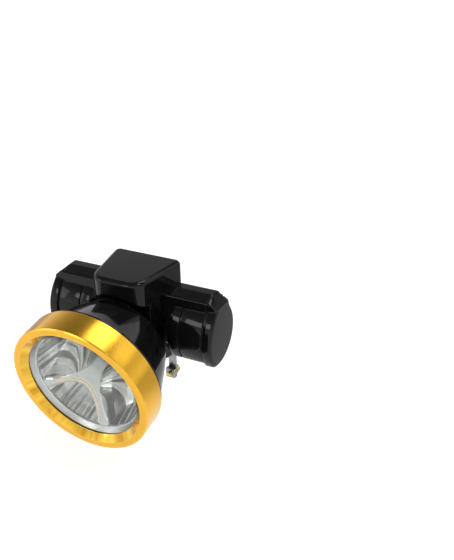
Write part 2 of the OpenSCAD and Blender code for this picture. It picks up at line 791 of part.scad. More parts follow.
module flap_pin() {
    color("silver") flip_x(true) rod_x(flap_pin_r, -pad_x - flap_w / 2, flap_w, hinge_y, hinge_z);
}

// ---- rear of the housing ----

module at_cover_screws() {
    for (x = [-screw_x, screw_x], z = [screw_low, screw_high]) translate([x, cover_face, z]) children();
}

module rear_cover() {
    color([0.1, 0.1, 0.1]) difference() {
        span([-cover_half, cover_face + seam, -cover_drop], [cover_half, block_back, cover_top]);
        at_cover_screws() {
            rod_y(screw_d / 2 + 0.15, -1, 2 * cover_t);
            rod_y(screw_d, cover_t - 1, cover_t);
        }
        at_hook_screws() rod_y(screw_d / 2 + 0.02, -10, 20);
    }
}

module cover_screws() {
    color("silver") at_cover_screws() {
        rod_y(screw_d / 2, -screw_len, screw_len + cover_t - 0.8);
        rod_y(screw_d - 0.1, cover_t - 1 + seam, 0.8);
    }
}

module driver_board() {
    color("green") span([pcb_inset - pocket_half, cover_face - pocket_depth + pcb_inset, pocket_floor + seam],
        [pocket_half - pcb_inset, cover_face - pcb_inset, pocket_floor + seam + pcb_t]);
}

module driver_chips() {
    w = pocket_half / 14;
    d = pocket_depth / 25;
    color([0.15, 0.15, 0.18])
        translate([0, cover_face - pocket_depth, pocket_floor + 2 * seam + pcb_t]) {
            translate([-9 * w, 5 * d, 0]) cube([6 * w, 5 * d, 0.9 * pcb_t]);
            translate([w, 6 * d, 0]) cube([7 * w, 7 * d, 1.9 * pcb_t]);
            translate([-8 * w, 14 * d, 0]) cube([4 * w, 6 * d, 1.2 * pcb_t]);
            translate([6 * w, 18 * d, 0]) cylinder(r = 2.5 * w, h = 3.7 * pcb_t);
        }
}

// ---- hook blade ----

module at_hook_screws() {
    for (z = hook_screw_z) translate([0, block_back, z]) children();
}

module hook_blade() {
    half = blade_w / 2;
    color("lightsteelblue") difference() {
        union() {
            span([-half, block_back + seam, -8], [half, block_back + blade_t, blade_top]);
            span([-half, -blade_t, -blade_drop], [half, 0, blade_top]);
            intersection() {
                difference() {
                    rod_x(bend_r + blade_t - seam / 2, -half, blade_w, -blade_t - bend_r, blade_top);
                    rod_x(bend_r, -half - 1, blade_w + 2, -blade_t - bend_r, blade_top);
                }
                span([-half - 1, block_back, blade_top - e], [half + 1, 1, blade_top + 20]);
            }
            span([tongue_x - tongue_w / 2, block_back + seam, -tongue_drop],
                [tongue_x + tongue_w / 2, block_back + blade_t, -7]);
        }
        at_hook_screws() {
            rod_y(screw_d / 2 + 0.1, -1, 2 + blade_t);
            rod_y(screw_d, blade_t - 0.8, hook_gap);
            rod_y(screw_d + 0.6, blade_t + 1, hook_gap + 10);
        }
        rod_y(clamp_d / 2 + 0.1, -20, 40, tongue_x, clamp_z);
    }
}

module hook_screws() {
    color("silver") at_hook_screws() {
        rod_y(screw_d / 2, -cover_t, cover_t + blade_t - 0.1);
        rod_y(screw_d - 0.1, blade_t - 0.8 + seam, 0.7);
    }
}

module clamp_screw() {
    color("goldenrod") {
        rod_y(clamp_d / 2, block_back - 5, 5 + blade_t + 1, tongue_x, clamp_z);
        rod_y(clamp_d, block_back + blade_t + seam, 2.6, tongue_x, clamp_z);
    }
}

module clamp_nut() {
    nut_w = 2 * clamp_d;
    color("lightsteelblue") difference() {
        span([tongue_x - nut_w / 2, block_back - 2.8, clamp_z - nut_w / 2],
            [tongue_x + nut_w / 2, block_back, clamp_z + nut_w / 2]);
        rod_y(clamp_d / 2 + 0.02, block_back - 10, 20, tongue_x, clamp_z);
    }
}

bezel_ring();
front_lens();
lens_gasket();
reflector();
led_emitters();
emitter_board();
heat_spreader();
spreader_screws();
head_shell();
tilt_knuckle();
knuckle_screws();
main_housing();
tilt_axle();
axle_clip();
cheek_screws();
friction_washers();
barrel_right();
barrel_left();
end_cap_right();
end_cap_left();
cap_seals();
cell_right();
cell_left();
contact_plates();
contact_leaves();
switch_module();
power_button();
charge_contacts();
charge_flap();
flap_pin();
rear_cover();
cover_screws();
driver_board();
driver_chips();
hook_blade();
hook_screws();
clamp_screw();
clamp_nut();
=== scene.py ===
import json
import math
import bmesh
import bpy
from mathutils import Matrix, Vector


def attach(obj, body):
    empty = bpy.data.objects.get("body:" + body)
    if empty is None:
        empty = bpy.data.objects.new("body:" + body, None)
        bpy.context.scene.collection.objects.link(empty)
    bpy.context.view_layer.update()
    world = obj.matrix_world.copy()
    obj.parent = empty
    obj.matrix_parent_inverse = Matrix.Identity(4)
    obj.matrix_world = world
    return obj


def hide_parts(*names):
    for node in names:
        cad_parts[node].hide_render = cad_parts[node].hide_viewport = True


MM = 0.001
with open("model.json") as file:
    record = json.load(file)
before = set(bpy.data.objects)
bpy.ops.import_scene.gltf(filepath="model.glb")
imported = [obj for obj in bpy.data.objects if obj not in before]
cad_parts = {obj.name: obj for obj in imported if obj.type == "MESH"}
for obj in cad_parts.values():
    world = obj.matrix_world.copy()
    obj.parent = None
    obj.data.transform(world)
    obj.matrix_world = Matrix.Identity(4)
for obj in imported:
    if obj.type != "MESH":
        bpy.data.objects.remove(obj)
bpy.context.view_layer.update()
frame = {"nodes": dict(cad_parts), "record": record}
nodes = frame["nodes"]

# ---- sizes in millimetres and angles in degrees, as in the CAD ----

AXLE_Y = -22.4
REST_TILT, TILT_DOWN = 9.2, 28.0
HEAD_REACH = 62.7
BEZEL_R, BEZEL_LEN, OPEN_R, SKIRT_R = 40.0, 15.6, 32.4, 38.0
FACE_W, BEVEL_DEPTH, LIP_T, LENS_R, LENS_Z, LENS_T = 4.0, 3.0, 3.4, 35.75, 3.45, 1.6
FLANGE_Z, FLANGE_T, RIM_R, BOWL_R, BOWL_Z = 5.45, 1.2, 32.95, 29.95, 8.05
FLOOR_Z, BOARD_R, SHOULDER_Z = 25.45, 24.5, 30.4
SHELF_R, BELL_Z, BELL_R, SHELL_LEN, SHELL_WALL = 33.95, 15.65, 39.2, 42.7, 2.2
WEB_Z = 12.45
CUP_TURN, EMITTER_RING, EMITTER_HOLE_R = 116.0, 18.6, 3.15
BACK_HALF, BLOCK_BACK, BLOCK_FRONT, BLOCK_TOP, BLOCK_DROP = 21.0, -8.0, -45.9, 35.1, 20.0
FRONT_HALF, BACK_CORNER, FRONT_CORNER, TOP_ROUND, SIDE_TURN = 16.5, 3.5, 9.5, 2.6, 10.04
BAY_HALF, BAY_TOP, CHEEK_FRONT, CHEEK_R, VISOR_LOW = 14.6, 17.5, -37.4, 14.0, 15.2
COVER_FACE = -10.4
COVER_HALF, COVER_TOP, COVER_DROP, POCKET_HALF, POCKET_FLOOR = 18.75, 32.85, 17.75, 14.2, 19.9
CHEEK_SCREW_Y, CHEEK_SCREW_Z, CHEEK_SCREW_R, AXLE_HOLE_R = -32.2, -8.4, 1.02, 4.4
SEAM_X, CAP_X, CAP_ROUND, CAP_STEP, TAPER_X = 45.5, 52.1, 1.6, 1.0, 26.0
GROOVE_X, GROOVE_W, GROOVE_DEPTH, INNER_X, BARREL_WALL = 31.6, 0.9, 0.9, 23.05, 2.0
BARREL_Y, BARREL_Z, BARREL_R, FRONT_Y, FRONT_Z, FRONT_R = -25.9, 3.5, 17.2, -13.8, 0.9, 22.5
ROOF_FRONT, ROOF_TOP, ROOF_LOW, CAP_LOW = -28.9, 25.0, 23.0, 19.5
CELL_Y, PLATE_IN, SPIGOT_X, BUTTON_R, PAD_X, PAD_Z = -22.1, 49.5, 42.5, 5.0, 33.25, -15.3
FLAP_HINGE_Y, FLAP_HINGE_Z = -18.5, -16.25
TONGUE_X, CLAMP_Z, SCREW_X = 10.8, -42.0, 16.5
GAP_MIDDLE, BEND_R, BLADE_HALF, BLADE_HALF_T = -4, 3.25, 13.5, 0.72

# Forms as measured on the photo, fuller than in the CAD: the bell's cone, the arch under the visor, and the
# cups' edges as arcs (x, y, radius), each cup with the fall of its wall from the edge inwards. The cups part
# at the angles of CUP_SPLITS, in radians. The web rises by WEB_DOME times the radius squared.
CONE_R, BELL_END, CONE_FALL, CONE_END_FALL = 38.0, 44.0, 0.4, 0.415
ARCH_R, ARCH_Z, ARCH_FLARE, ARCH_DEPTH = 27.0, -1.2, 1.0, 2.4
SIDE_FALL = ((-9, -45), (-1, -5), (0, 0), (2.4, 5), (6.0, 9.8), (8.5, 11.6), (20, 17))
LOW_FALL = ((-9, -45), (-0.3, -1.5), (0, 0), (2.6, 0.5), (3.8, 5), (5.4, 9.8), (6.2, 11.6), (10, 17))
CUPS = ((((-35.0, -41.8, 49.7),), SIDE_FALL),
        (((-9.1, 30.1, 25.6), (-72.3, 35.4, 75.7)), LOW_FALL),
        (((34.3, 11.6, 31.6),), SIDE_FALL))
CUP_SPLITS = (0.91, 3.42, 4.83)
CUP_FLOOR = FLOOR_Z - 1.4
BOWL_WALL = ((21.0, CUP_FLOOR), (22.5, FLOOR_Z - 2.4), (24.5, FLOOR_Z - 5), (26.5, FLOOR_Z - 8.6),
             (28.3, BOWL_Z + 4.5), (BOWL_R, BOWL_Z), (BOWL_R + 1, BOWL_Z - 6))
WEB_DOME = 0.0045

# Painted tan reflection along the edge of the second cup, by the distance inside the edge and by the radius
TAN_REFLECTION_EDGE = ((-2, 0), (-0.6, 0.55), (1.0, 0.7), (2.6, 0))
TAN_REFLECTION_REACH = ((6, 1), (20, 0.8), (27, 0.1))

# Degrees between two faces from which their edge is shaded sharp, and from which soften() rounds it
SHARP_ANGLE, ROUNDED_ANGLE = 38, 30

# The head's own frame: x to the right, -y up and z inwards from the bezel's face
HEAD = (Matrix.Translation((0, AXLE_Y * MM, 0)) @ Matrix.Rotation(math.radians(REST_TILT), 4, "X")
        @ Matrix.Translation((0, -HEAD_REACH * MM, 0)) @ Matrix.Rotation(math.radians(-90), 4, "X"))


# ---- mesh helpers ----

def new_object(name, data):
    obj = bpy.data.objects.new(name, data)
    bpy.context.scene.collection.objects.link(obj)
    return obj


def new_piece(name, bm, body, node, slot, matrix=None, flats=False):
    """Makes a piece of a bmesh drawn in millimetres, smooth except at sharp edges, in place of a node."""
    mesh = bpy.data.meshes.new(name)
    bmesh.ops.recalc_face_normals(bm, faces=bm.faces)
    bmesh.ops.scale(bm, vec=(MM, MM, MM), verts=bm.verts)
    bm.to_mesh(mesh)
    bm.free()
    piece = new_object(name, mesh)
    mesh.polygons.foreach_set("use_smooth", [True] * len(mesh.polygons))
    mesh.set_sharp_from_angle(angle=math.radians(SHARP_ANGLE))
    if flats:
        piece.modifiers.new("flats", "WEIGHTED_NORMAL").keep_sharp = True
    if matrix is not None:
        piece.matrix_world = matrix
    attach(piece, body)
    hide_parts(node)
    piece.data.materials.append(MATERIALS[slot])


def circle(r, count, x=0.0, y=0.0):
    return [(x + r * math.cos(2 * math.pi * k / count), y + r * math.sin(2 * math.pi * k / count))
            for k in range(count)]


def fillet(points, steps=5):
    """Rounds a closed outline. Each point is (x, y) or (x, y, radius)."""
    out = []
    count = len(points)
    for i, point in enumerate(points):
        p = Vector(point[:2])
        radius = point[2] if len(point) > 2 else 0
        if not radius:
            out.append(p)
            continue
        before, after = Vector(points[i - 1][:2]), Vector(points[(i + 1) % count][:2])
        u, v = (before - p).normalized(), (after - p).normalized()
        half = u.angle(v) / 2
        reach = min(radius / math.tan(half), 0.48 * (before - p).length, 0.48 * (after - p).length)
        radius = reach * math.tan(half)
        centre = p + (u + v).normalized() * (radius / math.sin(half))
        a, b = p + u * reach - centre, p + v * reach - centre
        turn = a.angle_signed(b)
        for k in range(steps + 1):
            out.append(centre + Matrix.Rotation(-turn * k / steps, 2) @ a)
    return out


def rounded(x, half, y0, y1, r0, r1, steps):
    """Outline of a rectangle about x, from y0 with corner radius r0 to y1 with corner radius r1."""
    return fillet([(x - half, y0, r0), (x + half, y0, r0), (x + half, y1, r1), (x - half, y1, r1)], steps)


def lathe(outline, segments):
    """Turns a closed outline of (radius, depth) about the local Z axis."""
    bm = bmesh.new()
    rings = []
    for r, z in outline:
        places = [(0, 0)] if r < 1e-6 else circle(r, segments)
        rings.append([bm.verts.new((x, y, z)) for x, y in places])
    count = len(rings)
    for i in range(count):
        a, b = rings[i], rings[(i + 1) % count]
        for k in range(segments):
            n = (k + 1) % segments
            if len(a) == 1 and len(b) == 1:
                break
            if len(a) == 1:
                bm.faces.new((a[0], b[k], b[n]))
            elif len(b) == 1:
                bm.faces.new((a[k], b[0], a[n]))
            else:
                bm.faces.new((a[k], b[k], b[n], a[n]))
    return bm


def skin(rings, closed=True):
    """Joins rings of equal count with quads, and closes both ends unless it is told not to."""
    bm = bmesh.new()
    rows = [[bm.verts.new(p) for p in ring] for ring in rings]
    count = len(rows[0])
    for a, b in zip(rows, rows[1:]):
        for k in range(count):
            bm.faces.new((a[k], a[(k + 1) % count], b[(k + 1) % count], b[k]))
    if closed:
        bm.faces.new(rows[0])
        bm.faces.new(rows[-1])
    return bm


def prism(outline, axis, low, high):
    """Draws an outline out along X or Z. The outline holds the other two coordinates in order."""
    place = {"x": lambda p, h: (h, *p), "z": lambda p, h: (*p, h)}[axis]
    return skin([[place(p, h) for p in outline] for h in (low, high)])


def span(low, high):
    """A box from its lowest to its highest corner."""
    (x0, y0, z0), (x1, y1, z1) = low, high
    return prism([(x0, y0), (x1, y0), (x1, y1), (x0, y1)], "z", z0, z1)


def merge(*parts):
    """Puts several bmeshes into one."""
    out = bmesh.new()
    for part in parts:
        mesh = bpy.data.meshes.new("part")
        part.to_mesh(mesh)
        part.free()
        out.from_mesh(mesh)
        bpy.data.meshes.remove(mesh)
    return out


def work_object(bm):
    mesh = bpy.data.meshes.new("work")
    bmesh.ops.recalc_face_normals(bm, faces=bm.faces)
    bm.to_mesh(mesh)
    bm.free()
    return new_object("work", mesh)


def carve(bm, keep, *cutters):
    """Keeps what lies in the form keep, and takes the cutters away."""
    work = work_object(bm)
    tools = []
    for tool, mode in [(keep, "INTERSECT")] + [(c, "DIFFERENCE") for c in cutters]:
        cut = work.modifiers.new("cut", "BOOLEAN")
        cut.operation, cut.solver, cut.object = mode, "EXACT", work_object(tool)
        tools.append(cut.object)
    mesh = bpy.data.meshes.new_from_object(work.evaluated_get(bpy.context.evaluated_depsgraph_get()))
    out = bmesh.new()
    out.from_mesh(mesh)
    for obj in (work, *tools):
        bpy.data.meshes.remove(obj.data)
    bpy.data.meshes.remove(mesh)
    return out


def soften(bm, width, steps=2, weld=0.03):
    """Rounds every edge that is sharp enough."""
    bmesh.ops.remove_doubles(bm, verts=bm.verts, dist=weld)
    bmesh.ops.dissolve_limit(bm, angle_limit=math.radians(0.5), verts=bm.verts, edges=bm.edges)
    limit = math.radians(ROUNDED_ANGLE)
    sharp = [e for e in bm.edges if len(e.link_faces) == 2 and e.calc_face_angle() > limit]
    bmesh.ops.bevel(bm, geom=sharp, offset=width, offset_type="OFFSET", segments=steps, profile=0.5,
                    affect="EDGES", clamp_overlap=True)
    return bm


def plate(outlines, low, high, bevel, steps=2):
    """A flat plate from an outer outline and its holes, with rounded edges."""
    data = bpy.data.curves.new("plate", "CURVE")
    data.dimensions, data.fill_mode = "2D", "BOTH"
    data.extrude, data.bevel_depth, data.offset = (high - low) / 2 - bevel, bevel, -bevel
    data.bevel_resolution = steps
    for outline in outlines:
        spline = data.splines.new("POLY")
        spline.points.add(len(outline) - 1)
        for point, p in zip(spline.points, outline):
            point.co = (p[0], p[1], 0, 1)
        spline.use_cyclic_u = True
    obj = bpy.data.objects.new("plate", data)
    mesh = bpy.data.meshes.new_from_object(obj)
    bm = bmesh.new()
    bm.from_mesh(mesh)
    bpy.data.objects.remove(obj)
    bpy.data.curves.remove(data)
    bpy.data.meshes.remove(mesh)
    bmesh.ops.remove_doubles(bm, verts=bm.verts, dist=0.001)
    bmesh.ops.translate(bm, vec=(0, 0, (low + high) / 2), verts=bm.verts)
    return bm


def smooth_max(a, b, k):
    """The larger of two values, blended where they are within k of each other."""
    h = max(k - abs(a - b), 0) / k
    return max(a, b) + h * h * k / 4


def smooth_min(a, b, k):
    return -smooth_max(-a, -b, k)


def along(table, x):
    """Linear reading of a table of (x, y) points sorted by x."""
    if x <= table[0][0]:
        return table[0][1]
    for (x0, y0), (x1, y1) in zip(table, table[1:]):
        if x <= x1:
            return y0 + (y1 - y0) * (x - x0) / (x1 - x0)
    return table[-1][1]


# ---- material helpers ----

MATERIALS = {}


class Nodes:
    """Short calls for a node tree. A value is an output or a constant."""

    def __init__(self, tree):
        self.tree = tree

    def node(self, kind, **values):
        n = self.tree.nodes.new(kind)
        for key, value in values.items():
            setattr(n, key, value)
        return n

    def feed(self, value, socket):
        """Links an output to the socket, or sets the socket to a constant."""
        if hasattr(value, "is_output"):
            self.tree.links.new(value, socket)
        else:
            socket.default_value = value

    def split(self, vector):
        n = self.node("ShaderNodeSeparateXYZ")
        self.feed(vector, n.inputs[0])
        return n.outputs

    def ramp(self, value, low, high, a=0.35, b=0.65):
        """Goes from low to high while the value goes from a to b."""
        n = self.node("ShaderNodeMapRange", clamp=True)
        for key, limit in (("From Min", a), ("From Max", b), ("To Min", low), ("To Max", high)):
            n.inputs[key].default_value = limit
        self.feed(value, n.inputs["Value"])
        return n.outputs["Result"]

    def colours(self, value, *stops):
        """A colour for each value, from stops of (place, colour)."""
        n = self.node("ShaderNodeValToRGB")
        elements = n.color_ramp.elements
        while len(elements) < len(stops):
            elements.new(0.5)
        for element, (place, colour) in zip(elements, stops):
            element.position = place
            element.color = (*colour, 1)
        self.feed(value, n.inputs["Fac"])
        return n.outputs["Color"]

    def blend(self, fac, a, b, mode="MIX"):
        n = self.node("ShaderNodeMix", data_type="RGBA", blend_type=mode)
        for value, place in ((fac, 0), (a, 6), (b, 7)):
            self.feed((*value, 1) if isinstance(value, tuple) else value, n.inputs[place])
        return n.outputs[2]

    def math(self, operation, a, b):
        n = self.node("ShaderNodeMath", operation=operation)
        self.feed(a, n.inputs[0])
        self.feed(b, n.inputs[1])
        return n.outputs[0]

    def seen(self, share=1.0):
        """1 for camera rays, and the given share for glossy and transmission rays."""
        path = self.node("ShaderNodeLightPath").outputs
        total = path["Is Camera Ray"]
        for name in ("Is Glossy Ray", "Is Transmission Ray"):
            total = self.math("MAXIMUM", total, self.math("MULTIPLY", path[name], share))
        return total


class Material(Nodes):
    """A material with the given shader settings, listed by its name in MATERIALS."""

    def __init__(self, name, **values):
        self.material = MATERIALS[name] = bpy.data.materials.new(name)
        self.material.use_nodes = True
        super().__init__(self.material.node_tree)
        self.shader = self.tree.nodes["Principled BSDF"]
        self.coord = self.node("ShaderNodeTexCoord").outputs["Object"]
        for key, value in values.items():
            self.to(value, key.replace("_", " "))

    def to(self, value, socket):
        self.feed(value, self.shader.inputs[socket])

    def attribute(self, name, output):
        return self.node("ShaderNodeAttribute", attribute_name=name).outputs[output]

    def scaled(self, x, y, z, turn=(0, 0, 0)):
        n = self.node("ShaderNodeMapping")
        n.inputs["Scale"].default_value = (x, y, z)
        n.inputs["Rotation"].default_value = turn
        self.feed(self.coord, n.inputs["Vector"])
        return n.outputs["Vector"]

    def noise(self, scale, detail=3.0, rough=0.5, vector=None):
        n = self.node("ShaderNodeTexNoise")
        n.inputs["Scale"].default_value = scale
        n.inputs["Detail"].default_value = detail
        n.inputs["Roughness"].default_value = rough
        self.feed(vector or self.coord, n.inputs["Vector"])
        return n.outputs["Fac"]

    def edge_mask(self, radius):
        """1 on edges, 0 on flats, from the angle between the real and a rounded normal."""
        round_edge = self.node("ShaderNodeBevel", samples=4)
        round_edge.inputs["Radius"].default_value = radius
        dot = self.node("ShaderNodeVectorMath", operation="DOT_PRODUCT")
        self.feed(round_edge.outputs["Normal"], dot.inputs[0])
        self.feed(self.node("ShaderNodeNewGeometry").outputs["Normal"], dot.inputs[1])
        return self.ramp(dot.outputs["Value"], 1, 0, 0.93, 0.995)

    def from_axis(self):
        """The coordinates flattened on the XY plane, and their distance from the Z axis."""
        flat = self.node("ShaderNodeVectorMath", operation="MULTIPLY")
        self.feed(self.coord, flat.inputs[0])
        flat.inputs[1].default_value = (1, 1, 0)
        size = self.node("ShaderNodeVectorMath", operation="LENGTH")
        self.feed(flat.outputs[0], size.inputs[0])
        return flat.outputs[0], size.outputs["Value"]

    def bump(self, height, strength, distance=0.0002):
        n = self.node("ShaderNodeBump")
        n.inputs["Strength"].default_value = strength
        n.inputs["Distance"].default_value = distance
        self.feed(height, n.inputs["Height"])
        self.to(n.outputs["Normal"], "Normal")


def plastic(name, low, high, rough, peel, spread=0.05, grain=420, edge_wear_and_sheen=None, ior=1.46):
    """Moulded plastic or rubber: clouded colour, fine scuffs, grain, and edges lighter, as rubbed wear and,
    on the black gloss, as a painted edge highlight.
    """
    m = Material(name, IOR=ior)
    cloud = m.noise(70, 5, 0.55)
    base = m.colours(cloud, (0.35, low), (0.72, high))
    # Lighter edges: rubbed wear, and on the black gloss also a painted edge highlight
    if edge_wear_and_sheen:
        rubbed_and_highlit_edges = m.math("MULTIPLY", m.edge_mask(0.0004), m.ramp(m.noise(300, 4, 0.6), 0.1, 0.8))
        base = m.blend(rubbed_and_highlit_edges, base, edge_wear_and_sheen)
    m.to(base, "Base Color")
    scratches = m.noise(1.0, 5, 0.7, m.scaled(240, 1300, 500, (0.4, 0.3, 0.9)))
    scuff = m.ramp(scratches, 0, spread, 0.5, 0.72)
    m.to(m.math("ADD", m.ramp(cloud, rough, rough + spread / 2), scuff), "Roughness")
    m.bump(m.noise(grain), peel)


def metal(name, colour, rough, brush=(900, 900, 900), strength=0.05, spots=110):
    """Metal with fine grain along one direction, small stains and brighter edges."""
    m = Material(name, Metallic=1.0)
    grain = m.noise(1.0, 4, 0.6, m.scaled(*brush))
    stain = m.noise(spots, 5, 0.65)
    base = m.colours(stain, (0.3, tuple(c * 0.8 for c in colour)), (0.62, colour))
    bright = tuple(min(1, c * 1.15 + 0.03) for c in colour)
    m.to(m.blend(m.edge_mask(0.0003), base, bright), "Base Color")
    m.to(m.math("ADD", m.ramp(grain, rough * 0.75, rough * 1.25), m.ramp(stain, 0.07, 0)), "Roughness")
    m.bump(grain, strength, 0.0001)


def gold():
    """Turned and anodised aluminium: satin with fine rings, the bevel inside the face polished and painted
    with dark and bright reflection patches round it.
    """
    m = Material("gold_anodised", Metallic=1.0, Coat_Weight=0.2, Coat_Roughness=0.3, Coat_IOR=1.5)
    flat, radius = m.from_axis()
    place = m.split(m.coord)
    across, around = 16000, 60
    turned = m.node("ShaderNodeCombineXYZ")
    m.feed(m.math("MULTIPLY", place["X"], around), turned.inputs["X"])
    m.feed(m.math("MULTIPLY", place["Y"], around), turned.inputs["Y"])
    m.feed(m.math("MULTIPLY", m.math("ADD", place["Z"], radius), across), turned.inputs["Z"])
    rings = m.noise(1.0, 2, 0.5, turned.outputs["Vector"])
    cloud = m.noise(55, 4, 0.6)
    base = m.colours(cloud, (0.3, (0.84, 0.44, 0.03)), (0.68, (0.89, 0.495, 0.04)))
    # Painted reflections: dark and bright patches round the bevel, by the direction from the axis
    way = m.node("ShaderNodeVectorMath", operation="NORMALIZE")
    m.feed(flat, way.inputs[0])
    painted_reflection_patches = m.colours(m.noise(4.5, 2, 0.5, way.outputs[0]),
                        (0.36, (0.6, 0.3, 0.014)), (0.62, (0.93, 0.6, 0.08)))
    corner = (BEZEL_R - FACE_W - 0.25) * MM, (BEZEL_R - FACE_W + 0.05) * MM
    base = m.blend(m.ramp(radius, 1, 0, *corner), base, painted_reflection_patches)
    m.to(m.blend(m.math("MULTIPLY", m.edge_mask(0.0005), 0.6), base, (0.97, 0.74, 0.25)), "Base Color")
    satin = m.math("ADD", m.ramp(rings, 0.2, 0.25), m.ramp(cloud, 0.03, 0))
    m.to(m.math("MULTIPLY", satin, m.ramp(radius, 0.4, 1, *corner)), "Roughness")
    m.bump(rings, 0.012, 0.0001)


def mirror():
    """Vacuum-metallised plastic: cups with fine ripples and painted dark and white reflection streaks down
    their walls, a rougher web painted darker grey as a painted reflection, a painted highlight along the
    rim's inner edge and a satin rim. The reflector's own attributes say where the streaks are read and where
    a tan reflection is painted."""
    m = Material("mirror_coat", Metallic=1.0)
    radius = m.from_axis()[1]
    ripple_and_reflection_streak = m.noise(0.55, 3, 0.55, m.attribute("streaks", "Vector"))
    haze = m.noise(160, 4, 0.6)
    rim = m.ramp(radius, 0, 1, (BOWL_R - 0.15) * MM, (BOWL_R + 0.25) * MM)
    dome = m.math("MULTIPLY", m.math("MULTIPLY", radius, radius), WEB_DOME / MM)
    crown = m.math("ADD", m.split(m.coord)["Z"], dome)
    web = m.ramp(crown, 1, 0, (WEB_Z + 0.1) * MM, (WEB_Z + 0.9) * MM)
    cups = m.math("SUBTRACT", 1.0, web)
    coat = m.colours(haze, (0.3, (0.87, 0.89, 0.87)), (0.7, (0.94, 0.95, 0.93)))
    # Painted reflection streaks: dark and white bands painted into the coat's colour along the ripples
    painted_streak_reflections = m.colours(ripple_and_reflection_streak, (0.4, (0.14, 0.16, 0.14)), (0.47, (0.5, 0.49, 0.45)),
                      (0.51, (0.93, 0.95, 0.92)), (0.54, (1, 1, 1)))
    coat = m.blend(1.0, coat, painted_streak_reflections, "MULTIPLY")
    # The web is painted darker grey, standing in for the darker reflection it shows
    coat = m.blend(web, coat, (0.48, 0.52, 0.49))
    # A tan reflection painted along the second cup's edge
    coat = m.blend(m.attribute("painted_tan_reflection", "Fac"), coat, (0.9, 0.7, 0.42))
    coat = m.blend(rim, coat, (0.5, 0.51, 0.48))
    # Painted highlight: a white line along the rim's inner edge, made less metallic there too
    painted_rim_highlight = m.math("MULTIPLY", m.ramp(radius, 0, 1, (BOWL_R - 0.2) * MM, (BOWL_R + 0.05) * MM),
                  m.ramp(radius, 1, 0, (BOWL_R + 0.5) * MM, (BOWL_R + 0.75) * MM))
    m.to(m.blend(painted_rim_highlight, coat, (0.97, 0.98, 0.96)), "Base Color")
    # Painted white streaks: the brightest streaks are made less metallic so that their white colour shows
    white = m.math("MULTIPLY", m.ramp(ripple_and_reflection_streak, 0, 0.6, 0.5, 0.57), cups)
    m.to(m.math("SUBTRACT", 1.0, m.math("MAXIMUM", white, m.math("MULTIPLY", painted_rim_highlight, 0.8))), "Metallic")
    shine = m.math("ADD", m.ramp(ripple_and_reflection_streak, 0.1, 0.14), m.ramp(haze, 0, 0.03))
    shine = m.math("ADD", shine, m.math("MULTIPLY", web, 0.04))
    m.to(m.math("ADD", shine, m.math("MULTIPLY", rim, 0.14)), "Roughness")
    m.bump(m.math("MULTIPLY", ripple_and_reflection_streak, cups), 0.15, 0.0012)


def lens():
    m = Material("clear_lens", Base_Color=(0.97, 0.985, 0.99, 1), IOR=1.45, Transmission_Weight=1.0)
    m.to(m.ramp(m.noise(120, 5, 0.6), 0.0, 0.015, 0.5, 0.8), "Roughness")
    m.bump(m.noise(25, 2), 0.01, 0.0001)


def make_materials():
    # The black gloss's lighter edges are a painted edge highlight as well as wear
    plastic("black_gloss", (0.0055, 0.0057, 0.006), (0.0085, 0.0087, 0.009), 0.06, 0.012, 0.06,
            edge_wear_and_sheen=(0.09, 0.09, 0.092), ior=1.34)
    plastic("black_matte", (0.014, 0.014, 0.015), (0.022, 0.022, 0.023), 0.42, 0.12, 0.08, 1600,
            (0.06, 0.06, 0.06))
    plastic("soft_rubber", (0.018, 0.018, 0.019), (0.03, 0.03, 0.031), 0.6, 0.15, 0.1, 2400,
            (0.07, 0.07, 0.07))
    plastic("board_white", (0.76, 0.77, 0.76), (0.83, 0.84, 0.83), 0.35, 0.03)
    plastic("board_green", (0.02, 0.16, 0.06), (0.04, 0.24, 0.1), 0.3, 0.04)
    plastic("fibre", (0.26, 0.13, 0.07), (0.38, 0.2, 0.12), 0.7, 0.15, grain=1800)
    plastic("cell_wrap", (0.02, 0.1, 0.3), (0.035, 0.15, 0.38), 0.22, 0.03)
    plastic("phosphor", (0.8, 0.62, 0.1), (0.9, 0.76, 0.2), 0.35, 0.04, grain=3000)
    metal("bare_aluminium", (0.72, 0.73, 0.75), 0.34, (260, 2600, 260))
    metal("steel", (0.58, 0.59, 0.61), 0.24, spots=300)
    metal("blade_steel", (0.38, 0.385, 0.39), 0.27, (1800, 1800, 70), strength=0.1, spots=140)
    metal("brass", (0.74, 0.54, 0.22), 0.24, spots=300)
    gold()
    mirror()
    lens()


# ---- lamp head ----

def bezel_ring():
    outline = fillet([
        (OPEN_R, BEVEL_DEPTH, 0.15), (BEZEL_R - FACE_W, 0, 0.2), (BEZEL_R - 0.7, 0, 0.35),
        (BEZEL_R, 0.7, 0.35), (BEZEL_R, BEZEL_LEN - 0.7, 0.35), (BEZEL_R - 0.7, BEZEL_LEN, 0.35),
        (SKIRT_R, BEZEL_LEN, 0.2), (SKIRT_R, LIP_T, 0.1), (OPEN_R, LIP_T, 0.1)])
    new_piece("bezel_turned", lathe(outline, 256), "lamp_head", "bezel_ring", "gold_anodised", HEAD)


